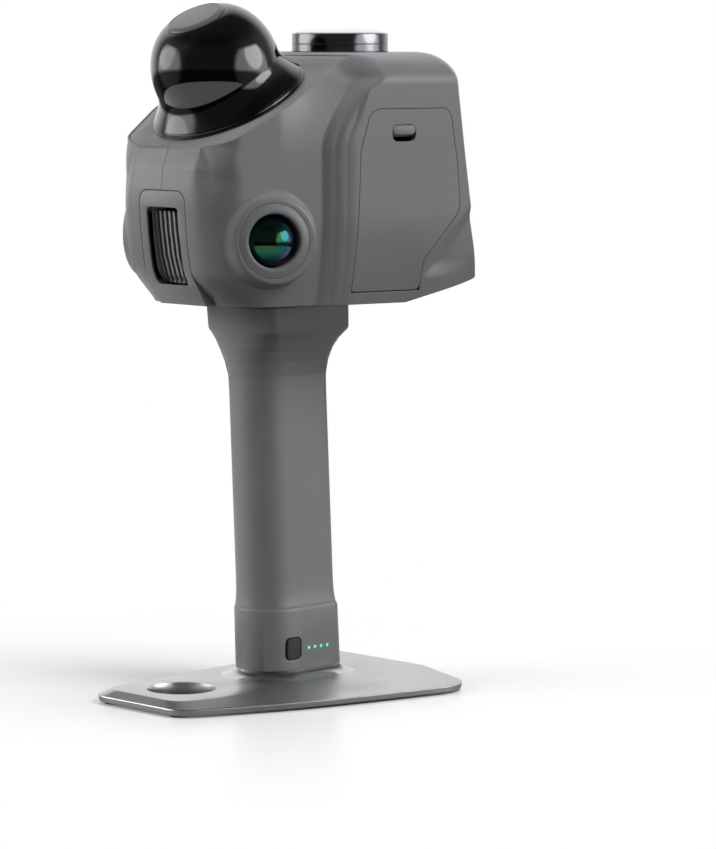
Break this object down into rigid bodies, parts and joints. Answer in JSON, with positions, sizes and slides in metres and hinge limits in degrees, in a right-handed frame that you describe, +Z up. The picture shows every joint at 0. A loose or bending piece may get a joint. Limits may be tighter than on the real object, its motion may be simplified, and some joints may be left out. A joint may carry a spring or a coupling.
{
  "type": "handheld 3-d scanner",
  "caption": "Handheld scanner with a tilted black dome sensor, two side lenses, a side hatch and a leaning grip that stands on a flared metal plate.",
  "frame": {"origin": "on the axis of the tripod thread under the grip, at the height of the surface the feet stand on", "axes": "+Z up, -Y towards the nose, +X towards the side with the hatch and the power button"},
  "size_m": [0.1232, 0.1429, 0.2833],
  "materials": {
    "shell_grey": "satin",
    "grip_grey": "satin",
    "dark_plastic": "matte",
    "dome_black": "gloss",
    "cap_grey": "satin",
    "dark_chrome": "polished",
    "plate_metal": "satin",
    "fin_metal": "satin",
    "steel": "satin",
    "brass": "satin",
    "rubber_black": "matte",
    "lens_glass": "gloss",
    "display_black": "gloss",
    "mirror": "polished",
    "board_green": "satin",
    "cell_blue": "satin",
    "led_green": "gloss"
  },
  "bodies": {
    "frame": {"base_plate": "plate_metal", "foot_pads": "rubber_black", "plate_screws": "steel", "tripod_insert": "brass", "handle_foot": "grip_grey", "handle_grip": "grip_grey", "switch_board": "board_green", "led_pipes": "led_green", "cell_lower": "cell_blue", "cell_upper": "cell_blue", "cell_cradle": "dark_plastic", "neck_plate": "dark_plastic", "neck_screws": "steel", "chassis": "fin_metal", "main_board": "board_green", "shell_right": "shell_grey", "shell_left": "shell_grey", "vent_panel": "shell_grey", "heat_sink": "fin_metal", "fan_housing": "dark_plastic", "lidar_deck": "shell_grey", "lidar_base": "fin_metal", "lidar_trim": "dome_black", "lidar_dome": "dome_black", "lidar_cap": "cap_grey", "lidar_stator": "brass", "bezel_right": "shell_grey", "lens_right": "lens_glass", "camera_right": "dark_plastic", "bezel_left": "shell_grey", "lens_left": "lens_glass", "camera_left": "dark_plastic", "dock_ring": "dark_chrome", "hatch_pin": "steel", "bay_tray": "dark_plastic", "storage_module": "dark_plastic", "display_bezel": "dark_plastic", "display_glass": "display_black", "display_module": "dark_plastic"},
    "fan_rotor": {"fan_rotor": "dark_plastic"},
    "lidar_rotor": {"lidar_rotor": "mirror"},
    "button": {"power_button": "dark_plastic"},
    "dock_cap": {"dock_cap": "dark_chrome"},
    "hatch": {"hatch_door": "shell_grey"},
    "latch": {"hatch_latch": "shell_grey"}
  },
  "joints": [
    {"name": "hatch_hinge", "type": "hinge", "parent": "frame", "child": "hatch", "pos_m": [0.0464, -0.0071, 0.1691], "axis": [0.2195, 0.9756, 0], "range_deg": [0, 90]},
    {"name": "latch_slide", "type": "slide", "parent": "hatch", "child": "latch", "axis": [0, 0, -1], "range_m": [0, 0.0024], "stiffness_N_per_m": 150},
    {"name": "button_press", "type": "slide", "parent": "frame", "child": "button", "axis": [-1, 0, 0], "range_m": [0, 0.0008], "stiffness_N_per_m": 900},
    {"name": "dome_spin", "type": "hinge", "parent": "frame", "child": "lidar_rotor", "pos_m": [0, -0.0329, 0.244], "axis": [0, -0.4785, 0.8781], "continuous": true},
    {"name": "fan_spin", "type": "hinge", "parent": "frame", "child": "fan_rotor", "pos_m": [0, -0.0566, 0.1873], "axis": [0, 1, 0], "continuous": true},
    {"name": "dock_cap_lift", "type": "slide", "parent": "frame", "child": "dock_cap", "axis": [0, 0, 1], "range_m": [0, 0.02]}
  ]
}
